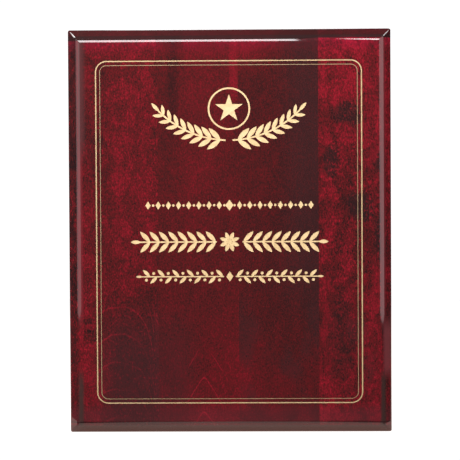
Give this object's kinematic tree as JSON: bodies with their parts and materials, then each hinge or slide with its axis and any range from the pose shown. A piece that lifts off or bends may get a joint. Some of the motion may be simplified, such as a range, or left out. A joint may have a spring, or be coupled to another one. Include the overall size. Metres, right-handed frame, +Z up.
{
  "type": "wall plaque",
  "caption": "Glossy rosewood-stained award plaque with a bevelled front, gold-filled engraving and two keyhole hangers in the back.",
  "frame": {"origin": "centre of the wooden back face, in the plane that rests on the wall", "axes": "+Z up with the plaque hung upright, the engraved front faces -Y, +X to the reader's right, +Y into the wall"},
  "size_m": [0.2032, 0.019, 0.254],
  "materials": {
    "rosewood_lacquer": "rosewood-red stain under a thick, clear, high-gloss lacquer",
    "gold_fill": "pale gold enamel, wiped into the engraving",
    "plated_steel": "brass-plated steel, lightly brushed"
  },
  "bodies": {
    "root": {"stave_left": "rosewood_lacquer", "stave_centre_left": "rosewood_lacquer", "stave_centre_right": "rosewood_lacquer", "stave_right": "rosewood_lacquer", "border_line_outer": "gold_fill", "border_line_inner": "gold_fill", "emblem_star": "gold_fill", "emblem_ring": "gold_fill", "laurel_left": "gold_fill", "laurel_right": "gold_fill", "ornament_row_upper": "gold_fill", "ornament_row_main": "gold_fill", "ornament_row_lower": "gold_fill", "hanger_plate_upright": "plated_steel", "hanger_plate_sideways": "plated_steel", "hanger_screws": "plated_steel"}
  },
  "joints": []
}
